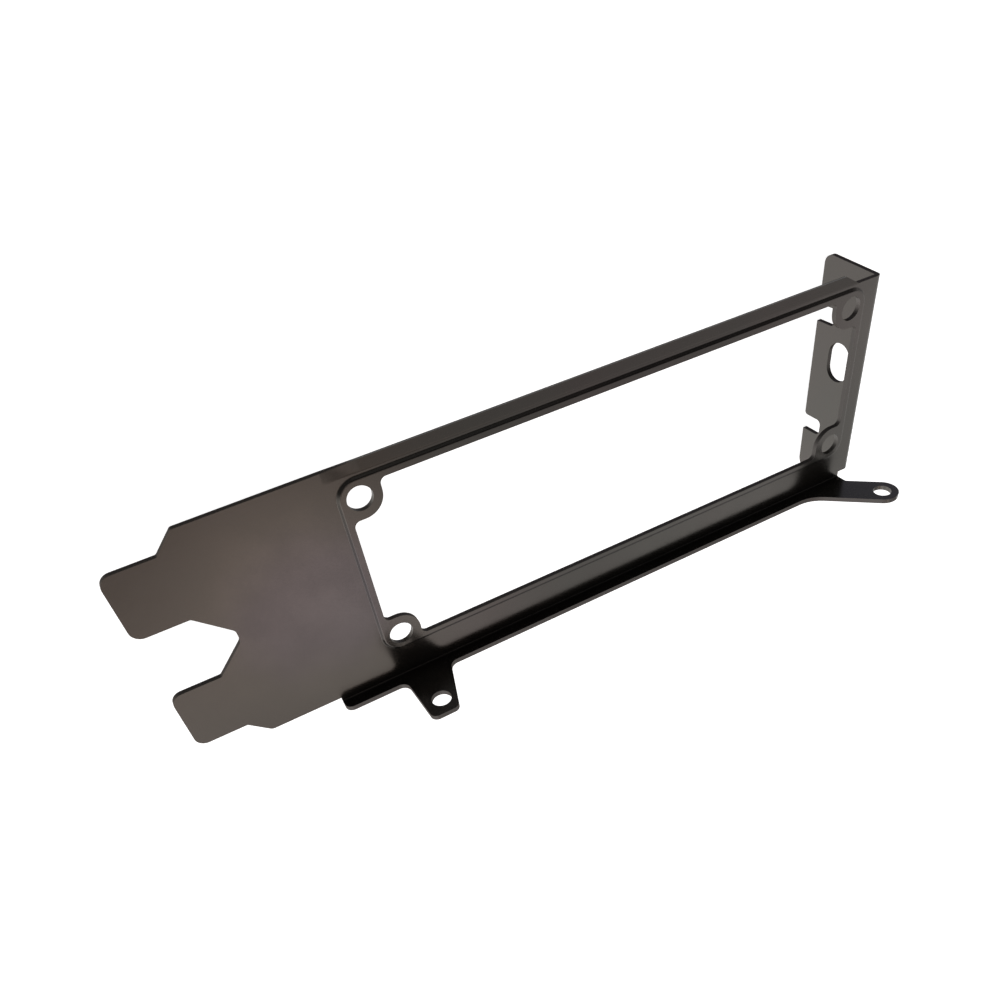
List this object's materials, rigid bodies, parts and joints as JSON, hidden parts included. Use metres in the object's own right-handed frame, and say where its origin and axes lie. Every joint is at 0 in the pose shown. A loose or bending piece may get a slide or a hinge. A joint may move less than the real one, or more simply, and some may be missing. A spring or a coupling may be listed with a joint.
{
  "type": "graphics card slot bracket",
  "caption": "Folded steel slot bracket for a graphics card, with a large open window, a forked end, a notched screw tab and drilled ears for the card.",
  "frame": {"origin": "centre of the four holes round the window, on the seat of the recess behind them", "axes": "+X along the bracket from the fingers to the screw tab, +Y across it from the eared flange to the lip, +Z to the side where the card is"},
  "size_m": [0.123, 0.0408, 0.0226],
  "materials": {
    "black_nickel": "smooth dark nickel plating on sheet steel"
  },
  "bodies": {
    "root": {"slot_bracket": "black_nickel"}
  },
  "joints": []
}
